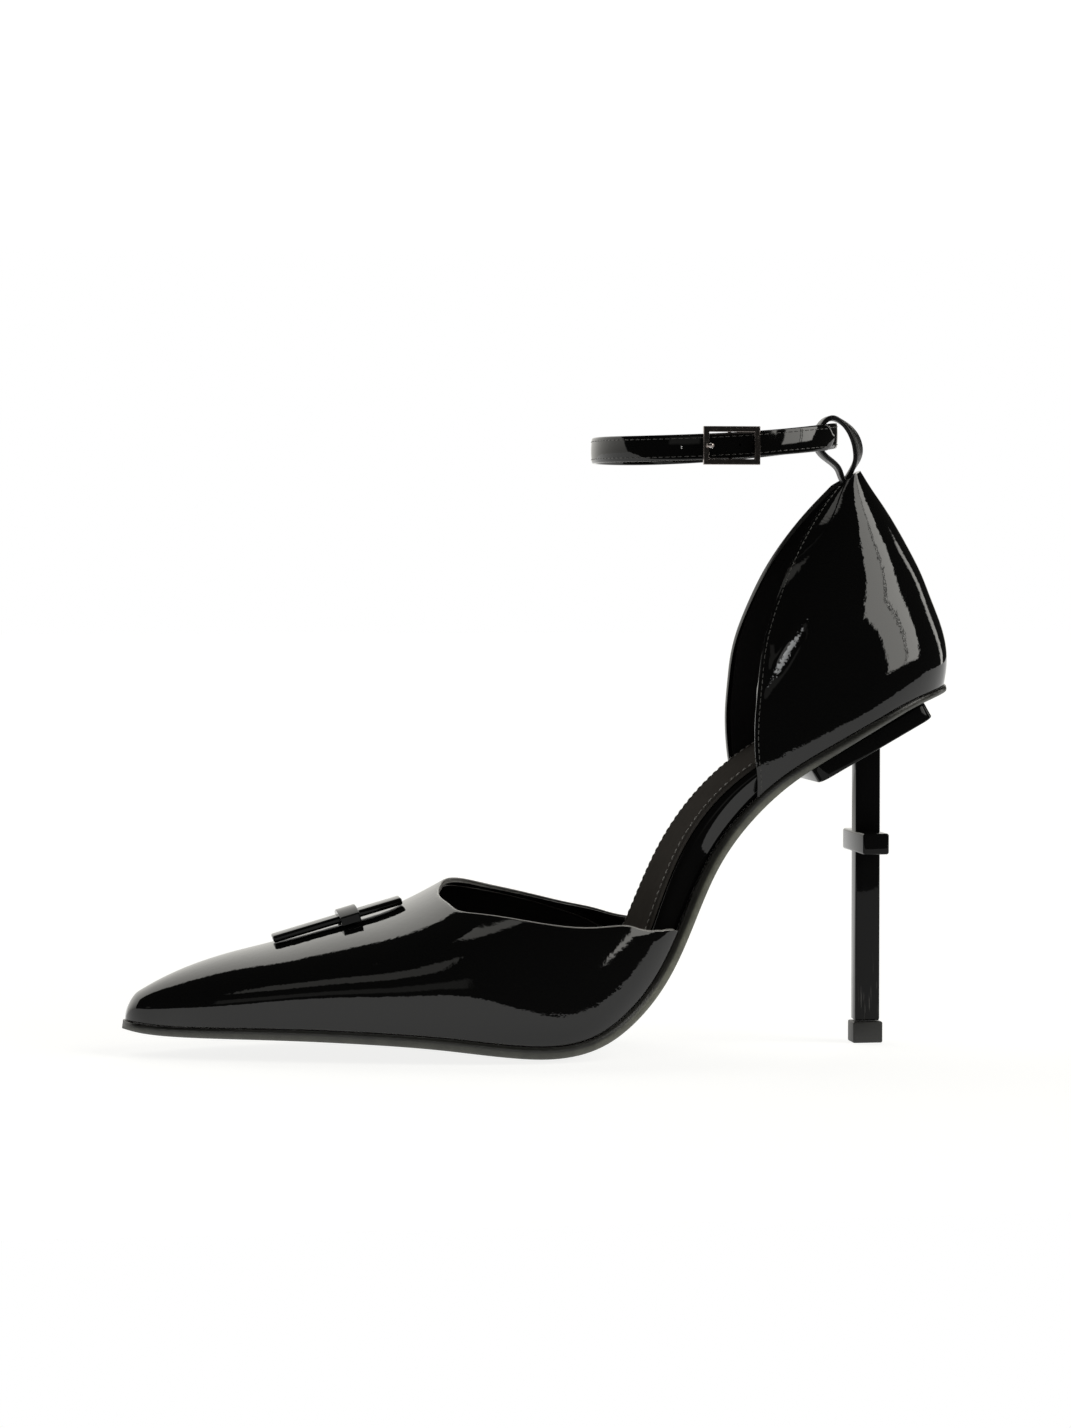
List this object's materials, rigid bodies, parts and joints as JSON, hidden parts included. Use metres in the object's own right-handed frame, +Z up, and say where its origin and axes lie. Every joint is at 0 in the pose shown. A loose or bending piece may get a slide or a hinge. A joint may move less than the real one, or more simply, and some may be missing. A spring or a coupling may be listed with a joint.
{
  "type": "ankle-strap pump",
  "caption": "Left women's pump in black patent leather with a pointed closed toe, open waist, buckled ankle strap and a slim high heel with a crossbar.",
  "frame": {"origin": "on the floor under the middle of the shoe's box", "axes": "+X from toe to heel, +Y to the inner side of the foot, +Z up"},
  "size_m": [0.2396, 0.0738, 0.1824],
  "materials": {
    "patent": "high-gloss black patent",
    "sole_leather": "black painted edge, matt sole",
    "sock": "dark satin lining leather",
    "lacquer": "black lacquer",
    "tip_rubber": "matt black",
    "nickel": "dark polished nickel"
  },
  "bodies": {
    "root": {"outsole": "sole_leather", "insole_board": "patent", "sock_lining": "sock", "vamp": "patent", "quarter": "patent", "back_loop": "patent", "ankle_strap": "patent", "buckle_frame": "nickel", "buckle_prong": "nickel", "heel": "lacquer", "top_lift": "tip_rubber", "vamp_bar": "lacquer"}
  },
  "joints": []
}
